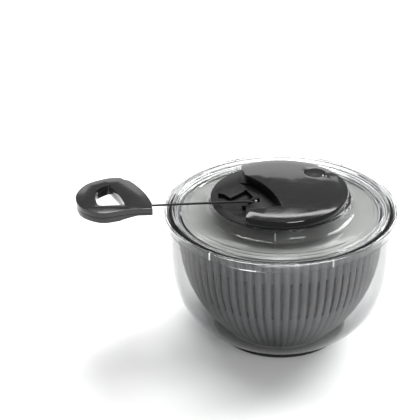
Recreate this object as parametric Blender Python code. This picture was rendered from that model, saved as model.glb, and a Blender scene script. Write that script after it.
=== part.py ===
"""Salad spinner with a pull cord: clear bowl, slotted basket, clear lid with a black cord drive, and its handle.

Metres, +Z up. The spin axis is Z. The origin is the centre of the bowl's flat underside, and the cord pulls along -X.
The handle is modelled pulled out by STOW_TRAVEL from its place in the cover.
"""

from math import atan2, cos, hypot, pi, radians, sin

import bmesh
import bpy
from mathutils import Matrix, Vector

MM = 0.001
GAP = 0.3 * MM  # between pieces that seat on each other
FINE, SMALL = 48, 24  # sides of a large and of a small round piece

# Bowl and its base ring
BOWL_RADIUS = 126.5 * MM
BOWL_HEIGHT = 153.1 * MM
BOWL_WALL = 3.0 * MM
BASE_RADIUS = 77.0 * MM
BOWL_FULLNESS = 3.6  # how soon the wall turns upright: higher is rounder
RING_WIDTH = 11.0 * MM
RING_DROP = 1.2 * MM  # below the bowl's underside
RING_TOP = 3.4 * MM
RIM_LIP = 2.1 * MM
RIM_LIP_HEIGHT = 2.8 * MM
FLOOR_ABOVE_RING = 2.5 * MM
PIVOT_HEIGHT = 8.0 * MM

# Basket
BASKET_CLEARANCE = 9.5 * MM  # bowl's outer face to basket's outer face, at the top of the wall
BASKET_WALL = 2.0 * MM
BASKET_FULLNESS = 2.8
BASKET_FOOT_INSET = 9.0 * MM  # bowl's base radius to the basket's foot
BASKET_FLOOR = 7.8 * MM
RIM_DROP = 4.1 * MM  # bowl's rim down to the basket's rim
SLOTS = 72
SLOT_SHARE = 0.38  # of the pitch
SLOT_DROP = 28.0 * MM  # basket's rim down to the slots
SLOT_LENGTH = 51.0 * MM
NOTCHES = 6
NOTCH_DEPTH = 2.6 * MM

# Lid
LID_WALL = 2.2 * MM
LID_CLEARANCE = 1.2 * MM  # bowl's lip to the inside of the lid's skirt
LID_RISE = 3.0 * MM  # bowl's rim up to the lid's top
LID_SKIRT = 10.7 * MM
RIDGE_WIDTH = 11.0 * MM
DECK_DROP = 2.3 * MM
NECK_RADIUS = 78.9 * MM
NECK_HEIGHT = 12.2 * MM  # above the deck
NECK_FOOT = 8.0 * MM  # radius of the round between the deck and the neck
SKIRT_RIBS = [radians(-131 + 60 * n) for n in range(6)]
NECK_RIBS = [radians(a) for a in (-5, 85, 175, -100)]

# Cover of the drive
COVER_WALL = 1.8 * MM
FLANGE_THICK = 1.5 * MM
FLANGE_OVERHANG = 0.4 * MM
SIDE_HEIGHT = 7.7 * MM
SIDE_INSET = 3.0 * MM
DOME_RISE = 4.5 * MM
POCKET_MARGIN = 6.2 * MM  # inside of the neck to the finger well
SKIRT_DEPTH = 2.6 * MM
RAMP_START, RAMP_END = -22.0 * MM, -42.0 * MM
BLADE_DEPTH = 7.7 * MM  # dome apex down to the recess's upper floor
POCKET_DEPTH = 4.2 * MM
LENS_DEPTH = 5.3 * MM

# Handle
HANDLE_THICK = 12.4 * MM
BLADE_THICK = 8.2 * MM
HANDLE_SPLIT = 6.0 * MM  # thickness of the upper shell
HANDLE_GAP = 0.8 * MM
BLADE_BACK, BLADE_TIP = (-37.9 * MM, 35.5 * MM), (-4.4 * MM, -41.5 * MM)
BLADE_BULGE = 5.6 * MM
BLADE_WIDTH = 29.5 * MM
FRONT_EDGE, BACK_EDGE = -44.0 * MM, 38.0 * MM
GRIP_REACH = 93.0 * MM  # from the spin axis to the grip's outer face
WINDOW_LEFT, WINDOW_LOW, WINDOW_HIGH = -69.0 * MM, -31.0 * MM, 20.0 * MM

# Cord and spool
CORD_RADIUS = 1.3 * MM
WIND_RADIUS = 16.5 * MM
STOW_TURN = radians(480)
STOW_TRAVEL = STOW_TURN * WIND_RADIUS
CORD_ABOVE_FLANGE = 2.8 * MM
CORD_PLAY = 1.1 * MM  # cord to the spool's upper plate
EYELET_RADIUS = 3.2 * MM
SPOOL_FLANGE = 22.0 * MM
SPOOL_DROP = 0.9 * MM  # lid's top down to the spool
SPOOL_HEIGHT = 8.2 * MM
LOWER_PLATE, UPPER_PLATE = 1.8 * MM, 1.4 * MM
SPRING_TURNS = 4

# Axle, ratchet and hub
AXLE_RADIUS = 3.0 * MM
AXLE_DROP = 17.5 * MM  # lid's top down to the axle's lower end
AXLE_LENGTH = 33.4 * MM
RATCHET_TEETH = 24
RATCHET_INNER, RATCHET_OUTER, RATCHET_RIM = 27.6 * MM, 30.6 * MM, 33.4 * MM
HUB_DROP = 7.2 * MM  # lid's top down to the hub's cup
HUB_PLATE = 1.6 * MM
HUB_DEPTH = 5.9 * MM
HUB_NECK = 12.8 * MM
HUB_NECK_LENGTH = 7.4 * MM
PAWL_THICK = 3.4 * MM
PAWL_PIVOT = 18.5 * MM
PAWL_PIN = 1.5 * MM

# Base of the drive, its posts and screws
CUP_RADIUS = 44.0 * MM
CUP_WALL = 2.0 * MM
CUP_DROP = 10.7 * MM  # lid's top down to the cup's underside
CUP_HEIGHT = 16.2 * MM
POST_CIRCLE, POST_RADIUS = 38.0 * MM, 3.4 * MM
POST_ANGLES = [radians(a) for a in (-70, 10, 90)]
SCREW_SHANK, SCREW_HEAD, SCREW_HEAD_HEIGHT = 1.2 * MM, 2.6 * MM, 1.3 * MM
HUB_SCREW_CIRCLE = 9.2 * MM

# Inner cover on the basket
INNER_COVER_WALL = 2.0 * MM
INNER_COVER_FLAT = 20.0 * MM
INNER_COVER_RISE = 6.0 * MM

# Brake
BRAKE_OFFSET = 10.2 * MM  # outside of the cup to the button's axis
BRAKE_ANGLE = radians(37.5)
BUTTON_RADIUS = 11.6 * MM
BUTTON_WELL = 10.5 * MM  # depth below the dome
STEM_RADIUS = 4.0 * MM
BRAKE_TRAVEL = 4.0 * MM
BRAKE_GAP = 0.6 * MM
PAD_THICK = 3.2 * MM

# Derived sizes and levels
LID_RADIUS = BOWL_RADIUS + RIM_LIP + LID_CLEARANCE + LID_WALL
LID_TOP = BOWL_HEIGHT + LID_RISE
DECK_TOP = LID_TOP - DECK_DROP
NECK_TOP = DECK_TOP + NECK_HEIGHT
NECK_INNER = NECK_RADIUS - LID_WALL
FLANGE_LOW = NECK_TOP + GAP
FLANGE_TOP = FLANGE_LOW + FLANGE_THICK
FLANGE_RADIUS = NECK_RADIUS + FLANGE_OVERHANG
DOME_RADIUS = FLANGE_RADIUS - SIDE_INSET
DOME_EDGE = FLANGE_TOP + SIDE_HEIGHT
DOME_TOP = DOME_EDGE + DOME_RISE
BLADE_FLOOR = DOME_TOP - BLADE_DEPTH
LOW_FLOOR = FLANGE_TOP + GAP
CORD_LEVEL = FLANGE_TOP + CORD_ABOVE_FLANGE
HANDLE_BOTTOM = LOW_FLOOR + GAP
HANDLE_TOP = HANDLE_BOTTOM + HANDLE_THICK
SPOOL_LOW = LID_TOP - SPOOL_DROP
SPOOL_HIGH = SPOOL_LOW + SPOOL_HEIGHT
GROOVE_LEVEL = SPOOL_HIGH - UPPER_PLATE - CORD_RADIUS - CORD_PLAY
AXLE_LOW = LID_TOP - AXLE_DROP
AXLE_HIGH = AXLE_LOW + AXLE_LENGTH
HUB_FLOOR = LID_TOP - HUB_DROP
HUB_TOP = HUB_FLOOR + HUB_DEPTH
HUB_BOTTOM = HUB_FLOOR - HUB_NECK_LENGTH
CUP_FLOOR = LID_TOP - CUP_DROP
CUP_TOP = CUP_FLOOR + CUP_HEIGHT
EYELET_TOP = CORD_LEVEL + 2.0 * MM
BRAKE_X = (CUP_RADIUS + BRAKE_OFFSET) * cos(BRAKE_ANGLE)
BRAKE_Y = (CUP_RADIUS + BRAKE_OFFSET) * sin(BRAKE_ANGLE)
BASKET_TOP = BOWL_HEIGHT - RIM_DROP
SLOT_HIGH = BASKET_TOP - SLOT_DROP
SLOT_LOW = SLOT_HIGH - SLOT_LENGTH
BASKET_RADIUS = BOWL_RADIUS - BASKET_CLEARANCE
RIM_INNER = BASKET_RADIUS - BASKET_WALL - 1.4 * MM


# ---- materials ----

def material(name, colour, roughness, metallic=0.0, alpha=1.0):
    made = bpy.data.materials.new(name)
    made.use_nodes = True
    shader = made.node_tree.nodes["Principled BSDF"]
    shader.inputs["Base Color"].default_value = (*colour, 1)
    shader.inputs["Roughness"].default_value = roughness
    shader.inputs["Metallic"].default_value = metallic
    shader.inputs["Alpha"].default_value = alpha
    made.diffuse_color = (*colour, alpha)
    return made


# ---- shapes ----

def keep(name, bm, finish, helper=False):
    """A mesh object from a bmesh. A helper is a cutter or a lump that a Boolean uses."""
    bmesh.ops.recalc_face_normals(bm, faces=bm.faces)
    mesh = bpy.data.meshes.new(name)
    bm.to_mesh(mesh)
    bm.free()
    made = bpy.data.objects.new(name, mesh)
    bpy.context.scene.collection.objects.link(made)
    if helper:
        made.hide_render = True
        made.display_type = "WIRE"
        return made
    mesh.materials.append(finish)
    mesh.shade_smooth()
    mesh.set_sharp_from_angle(angle=radians(35))
    return made


def place(bm, at):
    bmesh.ops.translate(bm, verts=bm.verts, vec=Vector(at))


def turned_bm(outline, sides, start=0.0):
    """A closed solid turned about Z from a closed outline of (radius, height)."""
    bm = bmesh.new()
    rings = []
    for radius, height in outline:
        if radius == 0:
            rings.append([bm.verts.new((0, 0, height))])
            continue
        turns = [start + 2 * pi * n / sides for n in range(sides)]
        rings.append([bm.verts.new((radius * cos(t), radius * sin(t), height)) for t in turns])
    for a, b in zip(rings, rings[1:] + rings[:1]):
        if len(a) == 1 and len(b) == 1:
            continue
        for n in range(sides):
            m = (n + 1) % sides
            corners = [a[n % len(a)], a[m % len(a)], b[m % len(b)], b[n % len(b)]]
            bm.faces.new(list(dict.fromkeys(corners)))
    return bm


def turned(name, outline, sides, finish=None, at=(0, 0, 0), helper=False):
    bm = turned_bm(outline, sides)
    place(bm, at)
    return keep(name, bm, finish, helper)


def rod_outline(radius, low, high):
    return [(0, low), (radius, low), (radius, high), (0, high)]


def tube_outline(inner, outer, low, high):
    return [(inner, low), (outer, low), (outer, high), (inner, high)]


def prism_bm(outline, low, high):
    """A closed solid between two heights over a closed outline of (x, y)."""
    bm = bmesh.new()
    bottom = [bm.verts.new((x, y, low)) for x, y in outline]
    face = bm.faces.new(bottom)
    made = bmesh.ops.extrude_face_region(bm, geom=[face])
    top = [v for v in made["geom"] if isinstance(v, bmesh.types.BMVert)]
    bmesh.ops.translate(bm, verts=top, vec=(0, 0, high - low))
    return bm


def prism(name, outline, low, high, finish=None, helper=False):
    return keep(name, prism_bm(outline, low, high), finish, helper)


def side_prism(name, outline, y_low, y_high):
    """A helper solid along Y over a closed outline of (x, z)."""
    bm = prism_bm([(x, z) for x, z in outline], 0, y_high - y_low)
    bmesh.ops.transform(bm, matrix=Matrix(((1, 0, 0, 0), (0, 0, 1, 0), (0, 1, 0, 0), (0, 0, 0, 1))), verts=bm.verts)
    place(bm, (0, y_low, 0))
    return keep(name, bm, None, helper=True)


def boolean(body, other, operation="DIFFERENCE"):
    made = body.modifiers.new(other.name, "BOOLEAN")
    made.object = other
    made.operation = operation
    made.solver = "EXACT"


def arc(centre, radius, start, end, steps):
    """Points on a circle from one angle to another."""
    turns = [start + (end - start) * n / steps for n in range(steps + 1)]
    return [(centre[0] + radius * cos(t), centre[1] + radius * sin(t)) for t in turns]


def arc_through(a, b, bulge, steps):
    """Points on an arc from a to b that bulges to the left of the way from a to b."""
    a, b = Vector(a), Vector(b)
    half = (b - a).length / 2
    radius = (half * half + bulge * bulge) / (2 * bulge)
    along = (b - a).normalized()
    left = Vector((-along.y, along.x))
    centre = (a + b) / 2 + left * (bulge - radius)
    first = atan2(*(a - centre).yx)
    last = atan2(*(b - centre).yx)
    if last > first:
        last -= 2 * pi
    return arc(centre, radius, first, last, steps)


def grown(outline, by):
    """The outline moved outwards by a distance. The outline runs either way round."""
    area = sum(x * v - u * y for (x, y), (u, v) in zip(outline, outline[1:] + outline[:1]))
    side = 1 if area > 0 else -1
    count, moved = len(outline), []
    for n in range(count):
        a, b, c = (Vector(outline[(n + k - 1) % count]) for k in range(3))
        before, after = (b - a).normalized(), (c - b).normalized()
        normals = [Vector((d.y, -d.x)) * side for d in (before, after)]
        middle = normals[0] + normals[1]
        moved.append(tuple(b + middle * by * 2 / max(middle.length_squared, 1.0)))
    return moved


def rounded(outline, radius, steps=3):
    """The outline with each corner replaced by a short curve. A corner may give its own radius third."""
    count, made = len(outline), []
    for n in range(count):
        corner = outline[n]
        size = corner[2] if len(corner) > 2 else radius
        a, b, c = (Vector(outline[(n + k - 1) % count][:2]) for k in range(3))
        size = min(size, (a - b).length * 0.45, (c - b).length * 0.45)
        start, end = b + (a - b).normalized() * size, b + (c - b).normalized() * size
        for k in range(steps + 1):
            t = k / steps
            made.append(tuple(start * (1 - t) ** 2 + b * 2 * t * (1 - t) + end * t * t))
    return made


def smooth_curve(points, t_count):
    """Points along a Catmull-Rom curve through the given points."""
    points = [Vector(p) for p in points]
    ends = [points[0] * 2 - points[1], *points, points[-1] * 2 - points[-2]]
    made = []
    for a, b, c, d in zip(ends, ends[1:], ends[2:], ends[3:]):
        for k in range(t_count):
            t = k / t_count
            made.append((b * 2 + (c - a) * t + (a * 2 - b * 5 + c * 4 - d) * t ** 2
                         + (b * 3 - a - c * 3 + d) * t ** 3) / 2)
    return made + [points[-1]]


# ---- bowl, ring and basket ----

def wall_radius(height):
    """The bowl's outer radius at a height: an upright wall that curves in to the base."""
    share = min(max((height - RING_TOP) / (0.78 * BOWL_HEIGHT - RING_TOP), 0), 1)
    return BASE_RADIUS + (BOWL_RADIUS - BASE_RADIUS) * (1 - (1 - share) ** BOWL_FULLNESS)


def lip_radius():
    return wall_radius(BOWL_HEIGHT) + RIM_LIP


def make_bowl(finish):
    low = RING_TOP + GAP
    levels = [low + (BOWL_HEIGHT - RIM_LIP_HEIGHT - 1 * MM - low) * (n / 9) ** 1.25 for n in range(10)]
    seat = BASE_RADIUS - RING_WIDTH - GAP
    outer = [(seat, 0), (seat, low)] + [(wall_radius(z), z) for z in levels]
    lip = lip_radius()
    rim = [(lip, BOWL_HEIGHT - RIM_LIP_HEIGHT), (lip, BOWL_HEIGHT),
           (wall_radius(BOWL_HEIGHT) - BOWL_WALL, BOWL_HEIGHT)]
    inner = [(wall_radius(z) - BOWL_WALL, z) for z in reversed(levels[1:])]
    floor_top = low + FLOOR_ABOVE_RING
    knee = floor_top + 3.2 * MM
    inner[-1] = (wall_radius(knee) - BOWL_WALL * 1.4, knee)
    floor = [(inner[-1][0] - 5 * MM, floor_top), (9 * MM, floor_top), (4 * MM, PIVOT_HEIGHT - 1.0 * MM),
             (2 * MM, PIVOT_HEIGHT), (0, PIVOT_HEIGHT)]
    turned("bowl", [(0, 0)] + outer + rim + inner + floor, FINE, finish)


def make_base_ring(finish):
    inner, outer = BASE_RADIUS - RING_WIDTH, BASE_RADIUS
    chamfer = 0.8 * MM
    turned("base_ring", [(inner, -RING_DROP), (outer - chamfer, -RING_DROP), (outer, -RING_DROP + chamfer),
                         (outer, RING_TOP), (inner, RING_TOP)], FINE, finish)


def basket_radius(height):
    """The basket's outer radius at a height, which leaves a wider gap to the bowl lower down."""
    share = min(max((height - BASKET_FLOOR) / (BASKET_TOP - BASKET_FLOOR), 0), 1)
    foot = BASE_RADIUS - BASKET_FOOT_INSET
    return foot + (BASKET_RADIUS - foot) * (1 - (1 - share) ** BASKET_FULLNESS)


def make_basket(finish):
    """Rings of 2 points for each slot. The faces of the slots are left out and their sides are bridged."""
    floor = BASKET_FLOOR
    heights = [floor + 5 * MM, floor + (SLOT_LOW - floor) * 0.35, floor + (SLOT_LOW - floor) * 0.67, SLOT_LOW,
               (SLOT_LOW + SLOT_HIGH) / 2, SLOT_HIGH, BASKET_TOP - 3.2 * MM]
    outer = [(basket_radius(floor) - 3 * MM, floor)] + [(basket_radius(z), z) for z in heights]
    outer += [(BASKET_RADIUS + 0.6 * MM, BASKET_TOP - 2.8 * MM), (BASKET_RADIUS + 0.6 * MM, BASKET_TOP)]
    inner = [(basket_radius(floor) - 4 * MM, floor + BASKET_WALL)] + [(r - BASKET_WALL, z) for r, z in outer[1:7]]
    inner += [(RIM_INNER, BASKET_TOP - 3.0 * MM), (RIM_INNER, BASKET_TOP)]
    half = pi / SLOTS * SLOT_SHARE
    turns = [2 * pi * n / SLOTS + side * half for n in range(SLOTS) for side in (-1, 1)]
    bm = bmesh.new()

    def ring(radius, height):
        return [bm.verts.new((radius * cos(t), radius * sin(t), height)) for t in turns]

    out_rings, in_rings = [ring(*p) for p in outer], [ring(*p) for p in inner]
    low, high = 1 + heights.index(SLOT_LOW), 1 + heights.index(SLOT_HIGH)
    count = len(turns)
    for n in range(count):
        m, in_slot = (n + 1) % count, n % 2 == 0
        for rings, size in ((out_rings, len(out_rings)), (in_rings, len(in_rings))):
            for k in range(size - 1):
                if in_slot and low <= k < high:
                    continue
                bm.faces.new((rings[k][n], rings[k][m], rings[k + 1][m], rings[k + 1][n]))
        bm.faces.new((out_rings[-1][n], out_rings[-1][m], in_rings[-1][m], in_rings[-1][n]))
        for k in range(low, high):
            bm.faces.new((out_rings[k][n], out_rings[k + 1][n], in_rings[k + 1][n], in_rings[k][n]))
        if in_slot:
            for k in (low, high):
                bm.faces.new((out_rings[k][n], out_rings[k][m], in_rings[k][m], in_rings[k][n]))
    for rings, height in ((out_rings, floor), (in_rings, floor + BASKET_WALL)):
        middle = bm.verts.new((0, 0, height))
        near = [bm.verts.new((11 * MM * cos(t), 11 * MM * sin(t), height)) for t in turns[::6]]
        for n in range(count // 6):
            m = (n + 1) % (count // 6)
            bm.faces.new((middle, near[n], near[m]))
            outer_edge = [rings[0][(n * 6 + k) % count] for k in range(7)]
            for k in range(6):
                bm.faces.new((near[n], outer_edge[k], outer_edge[k + 1]))
            bm.faces.new((near[n], outer_edge[6], near[m]))
    basket = keep("basket", bm, finish)
    dimple = turned("pivot_dimple", [(0, floor - 1 * MM), (5 * MM, floor - 1 * MM), (4.4 * MM, floor + 0.6 * MM),
                                     (2.4 * MM, floor + 0.9 * MM), (0, floor + 0.9 * MM)], SMALL, helper=True)
    boolean(basket, dimple)
    notch_cutters = bmesh.new()
    for n in range(NOTCHES):
        add_lug(notch_cutters, n, GAP * 1.5, BASKET_TOP - NOTCH_DEPTH, BASKET_TOP + 2 * MM)
    boolean(basket, keep("rim_notches", notch_cutters, None, helper=True))


def add_lug(bm, number, spare, low, high):
    """A block across the basket's rim at one of the notches."""
    half = 5 * MM + spare
    piece = prism_bm([(RIM_INNER - 3 * MM, -half), (BASKET_RADIUS - 1.6 * MM + spare, -half),
                      (BASKET_RADIUS - 1.6 * MM + spare, half), (RIM_INNER - 3 * MM, half)], low, high)
    bmesh.ops.rotate(piece, verts=piece.verts, matrix=Matrix.Rotation(2 * pi * number / NOTCHES, 3, "Z"))
    append(bm, piece)


def append(bm, piece):
    mesh = bpy.data.meshes.new("piece")
    piece.to_mesh(mesh)
    piece.free()
    bm.from_mesh(mesh)
    bpy.data.meshes.remove(mesh)


# ---- lid ----

def neck_curve(radius, level):
    """The round foot of the neck, from the deck up."""
    turns = [pi / 2 * n / 5 for n in range(6)]
    return [(radius + NECK_FOOT * (1 - sin(t)), level + NECK_FOOT * (1 - cos(t))) for t in turns]


def make_lid(finish):
    ridge_inner = LID_RADIUS - RIDGE_WIDTH
    skirt_low = LID_TOP - LID_SKIRT
    seat = BOWL_HEIGHT + GAP
    under = DECK_TOP - LID_WALL
    locate_outer = wall_radius(BOWL_HEIGHT) - BOWL_WALL - 2.0 * MM
    locate_inner = locate_outer - LID_WALL
    locate_low = LID_TOP - 8.4 * MM
    outline = [(LID_RADIUS, skirt_low), (LID_RADIUS, LID_TOP - 1.8 * MM), (LID_RADIUS - 1.6 * MM, LID_TOP - 0.3 * MM),
               (LID_RADIUS - 4 * MM, LID_TOP), (ridge_inner + 1.6 * MM, LID_TOP), (ridge_inner, LID_TOP - 0.8 * MM),
               (ridge_inner - 1.4 * MM, DECK_TOP), *neck_curve(NECK_RADIUS, DECK_TOP), (NECK_RADIUS, NECK_TOP),
               (NECK_INNER, NECK_TOP), *reversed(neck_curve(NECK_INNER, under)), (locate_inner, under),
               (locate_inner, locate_low), (locate_outer, locate_low), (locate_outer, seat),
               (LID_RADIUS - LID_WALL, seat), (LID_RADIUS - LID_WALL, skirt_low)]
    lid = turned("lid", outline, FINE, finish)
    ribs = bmesh.new()
    for angle in SKIRT_RIBS:
        add_rib(ribs, angle, lip_radius() + GAP, LID_RADIUS - 1 * MM, 0.6 * MM, skirt_low + 0.4 * MM, seat + 0.6 * MM)
    for angle in NECK_RIBS:
        add_rib(ribs, angle, NECK_RADIUS - 1 * MM, NECK_RADIUS + 2.2 * MM, 3 * MM, DECK_TOP - 0.6 * MM,
                NECK_TOP - 2.6 * MM)
    boolean(lid, keep("lid_ribs", ribs, None, helper=True), "UNION")


def add_rib(bm, angle, inner, outer, half, low, high):
    """A radial block between two radii at an angle about Z."""
    rib = prism_bm([(inner, -half), (outer, -half), (outer, half), (inner, half)], low, high)
    bmesh.ops.rotate(rib, verts=rib.verts, matrix=Matrix.Rotation(angle, 3, "Z"))
    append(bm, rib)


# ---- outlines that the cover and the handle share, with the handle stowed ----


def blade_arc(out, steps=8):
    """The curved inner edge of the handle's blade, moved outwards from the blade by a clearance."""
    shift = Vector((0.92, 0.39)) * out
    a, b = Vector(BLADE_BACK) + shift, Vector(BLADE_TIP) + shift
    return arc_through(a, b, BLADE_BULGE, steps)


def handle_outline():
    """The handle's plan, stowed: the blade's arc, a straight front side, a round grip and a round back corner."""
    back, tip = Vector(BLADE_BACK), Vector(BLADE_TIP)
    inner = blade_arc(0)[1:-1]
    corners = [(tip.x, FRONT_EDGE + 0.5 * MM, 4 * MM), (-34 * MM, FRONT_EDGE + 1.5 * MM, 14 * MM),
               (-60 * MM, FRONT_EDGE - 8 * MM, 16 * MM), (-GRIP_REACH + 7 * MM, -34 * MM, 14 * MM),
               (-GRIP_REACH, -4 * MM, 16 * MM), (-GRIP_REACH + 12 * MM, 25 * MM, 14 * MM),
               (-55 * MM, BACK_EDGE - 1.5 * MM, 12 * MM), (back.x - 3 * MM, back.y + 0.5 * MM, 5 * MM)]
    return [tuple(p) for p in inner] + rounded(corners, 6 * MM)


def window_outline(spare=0.0):
    near = [Vector(p) - Vector((BLADE_WIDTH - spare, 0)) for p in blade_arc(0, 6)]
    inside = [p for p in near if WINDOW_LOW - spare < p.y < WINDOW_HIGH + spare]
    first, last = inside[0], inside[-1]
    corners = [(first.x - 3 * MM, WINDOW_HIGH + spare), *[tuple(p) for p in inside],
               (last.x, WINDOW_LOW - spare), (WINDOW_LEFT + 4 * MM - spare, WINDOW_LOW - spare),
               (WINDOW_LEFT - spare, -14 * MM), (WINDOW_LEFT - spare, 8 * MM)]
    return rounded(corners, 5 * MM, 2)


def recess_outline():
    """The part of the dome that is cut away for the handle: the blade's bed and all to the left of it."""
    far = FLANGE_RADIUS + 4 * MM
    bed = [tuple(p) for p in blade_arc(HANDLE_GAP)]
    tip = bed[-1]
    return bed + [(tip[0], FRONT_EDGE - HANDLE_GAP), (-41 * MM, FRONT_EDGE - HANDLE_GAP - 2 * MM),
                  (-45.5 * MM, -72 * MM), (-far, -72 * MM), (-far, 76 * MM), (-40 * MM, 76 * MM)]


def pocket_outline():
    """The finger well under the handle's window, with the notch that the cord comes through."""
    reach = NECK_INNER - POCKET_MARGIN
    rim = arc((0, 0), reach, radians(170.9), radians(228), 5)
    tail = (reach - 7.5 * MM) * cos(radians(227.6)), (reach - 7.5 * MM) * sin(radians(227.6))
    return [(-31 * MM, -5.7 * MM), (-37.7 * MM, 15.5 * MM), (13.9 * MM - reach, -2.1 * MM),
            (7.5 * MM - reach, 8 * MM), *rim, tail, (-41 * MM, -23.5 * MM), (-45 * MM, -21 * MM)]


def lens_outline():
    """The deep hollow between the blade's arc and a straight chord."""
    bed = [tuple(p) for p in blade_arc(HANDLE_GAP)]
    return bed[1:-1] + [(bed[-1][0] - 3 * MM, bed[-1][1] + 8 * MM), (bed[0][0] - 8 * MM, bed[0][1] + 1 * MM)]


def ramp_section(drop):
    """The recess's floor seen along Y: low at the left, a ramp, then the blade's bed."""
    return [(-100 * MM, LOW_FLOOR - drop), (RAMP_END, LOW_FLOOR - drop), (RAMP_START, BLADE_FLOOR - drop),
            (30 * MM, BLADE_FLOOR - drop), (30 * MM, DOME_TOP + 20 * MM), (-100 * MM, DOME_TOP + 20 * MM)]


def dome_outline(radius, edge, rise, bottom, inset=0.0):
    """A solid dome's outline: an upright side and a shallow crown."""
    crown = [(radius * (1 - n / 6), edge + rise * (1 - (1 - n / 6) ** 2)) for n in range(1, 7)]
    return [(0, bottom), (radius + inset, bottom), (radius + inset * 0.4, edge - 1.2 * MM), (radius - 0.6 * MM, edge),
            *crown]


def recess_lumps(spare):
    """Helpers for the recess, the pocket and the lens, each larger by a wall when they shape the cavity."""
    low = DOME_TOP - 40 * MM
    recess = prism(f"recess_{spare:.4f}", grown(recess_outline(), spare), low, DOME_TOP + 10 * MM, helper=True)
    boolean(recess, side_prism(f"ramp_{spare:.4f}", ramp_section(spare), -120 * MM, 120 * MM), "INTERSECT")
    pocket = prism(f"pocket_{spare:.4f}", grown(pocket_outline(), spare), LOW_FLOOR - POCKET_DEPTH - spare,
                   DOME_TOP + 10 * MM, helper=True)
    lens = prism(f"lens_{spare:.4f}", grown(lens_outline(), spare), BLADE_FLOOR - LENS_DEPTH - spare,
                 DOME_TOP + 10 * MM, helper=True)
    return recess, pocket, lens


def make_cover(finish):
    """A solid dome with its recesses cut, then hollowed from below, with posts and tubes added and drilled."""
    crown = dome_outline(DOME_RADIUS, DOME_EDGE, DOME_RISE, FLANGE_LOW, 0.9 * MM)
    body = [(0, FLANGE_LOW), (FLANGE_RADIUS, FLANGE_LOW), (FLANGE_RADIUS, FLANGE_TOP - 0.4 * MM),
            (FLANGE_RADIUS - 0.5 * MM, FLANGE_TOP), (DOME_RADIUS + 0.8 * MM, FLANGE_TOP), *crown[2:]]
    cover = turned("top_cover", body, FINE, finish)
    for name, outline, floor in (("pocket_tub", pocket_outline(), LOW_FLOOR - POCKET_DEPTH),
                                 ("lens_tub", lens_outline(), BLADE_FLOOR - LENS_DEPTH)):
        tub = prism(name, grown(outline, COVER_WALL), floor - COVER_WALL, FLANGE_TOP - 0.2 * MM, helper=True)
        boolean(cover, tub, "UNION")
    for lump in recess_lumps(0):
        boolean(cover, lump)
    cavity = turned("cavity", dome_outline(DOME_RADIUS - COVER_WALL, DOME_EDGE - COVER_WALL, DOME_RISE,
                                           FLANGE_LOW - 10 * MM), FINE, helper=True)
    for lump in recess_lumps(COVER_WALL):
        boolean(cavity, lump)
    boolean(cover, cavity)
    skirt = turned("skirt", tube_outline(NECK_INNER - 1.9 * MM, NECK_INNER - 0.5 * MM, FLANGE_LOW - SKIRT_DEPTH,
                                         FLANGE_LOW + 0.7 * MM), FINE, helper=True)
    boolean(skirt, prism("skirt_gap", [(-49 * MM, -90 * MM), (-90 * MM, -90 * MM), (-90 * MM, 90 * MM),
                                       (-30 * MM, 90 * MM)], FLANGE_LOW - 20 * MM, FLANGE_TOP + 9 * MM, helper=True))
    boolean(cover, skirt, "UNION")
    roof = DOME_EDGE + 0.5 * DOME_RISE
    for number, angle in enumerate(POST_ANGLES, 1):
        at = (POST_CIRCLE * cos(angle), POST_CIRCLE * sin(angle), 0)
        post = turned(f"post_{number}", rod_outline(POST_RADIUS, CUP_FLOOR + CUP_WALL + GAP, roof), SMALL, at=at,
                      helper=True)
        boolean(cover, post, "UNION")
    boolean(cover, turned("axle_boss", rod_outline(7 * MM, SPOOL_HIGH + 0.9 * MM, DOME_TOP - 0.9 * MM), SMALL,
                           helper=True), "UNION")
    bore = BUTTON_RADIUS + 0.6 * MM
    well = turned("button_tube", rod_outline(bore + COVER_WALL, DOME_TOP - BUTTON_WELL - COVER_WALL, roof - 0.4 * MM),
                  SMALL, at=(BRAKE_X, BRAKE_Y, 0), helper=True)
    boolean(cover, well, "UNION")
    holes = bmesh.new()
    append(holes, turned_bm(rod_outline(AXLE_RADIUS + GAP, SPOOL_HIGH - 4 * MM, AXLE_HIGH + GAP), SMALL))
    for angle in POST_ANGLES:
        hole = turned_bm(rod_outline(SCREW_SHANK + GAP, CUP_FLOOR, CUP_FLOOR + 16 * MM), 12, start=0.05)
        place(hole, (POST_CIRCLE * cos(angle), POST_CIRCLE * sin(angle), 0))
        append(holes, hole)
    floor = DOME_TOP - BUTTON_WELL
    well = turned_bm([(0, floor - 6 * MM), (STEM_RADIUS + 0.5 * MM, floor - 6 * MM), (STEM_RADIUS + 0.5 * MM, floor),
                      (bore, floor), (bore, DOME_TOP + 4 * MM), (0, DOME_TOP + 4 * MM)], SMALL)
    place(well, (BRAKE_X, BRAKE_Y, 0))
    append(holes, well)
    boolean(cover, keep("drilled_holes", holes, None, helper=True))
    boolean(cover, cord_cutter())


def cord_cutter():
    """A slot along the cord, from inside the cover to the pocket."""
    low = LOW_FLOOR - POCKET_DEPTH
    outline = [(-25 * MM, low - 6 * MM), (-25 * MM, BLADE_FLOOR - COVER_WALL + 1.2 * MM),
               (-33.5 * MM, CORD_LEVEL + 3 * MM), (-33.5 * MM, DOME_TOP), (-46 * MM, DOME_TOP),
               (-46 * MM, low + 0.4 * MM), (-33.5 * MM, low + 0.4 * MM),
               (-33.5 * MM, low - 6 * MM)]
    half = CORD_RADIUS + 2.6 * MM
    return side_prism("cord_slot", outline, -WIND_RADIUS - half, -WIND_RADIUS + half)


# ---- handle ----

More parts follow.
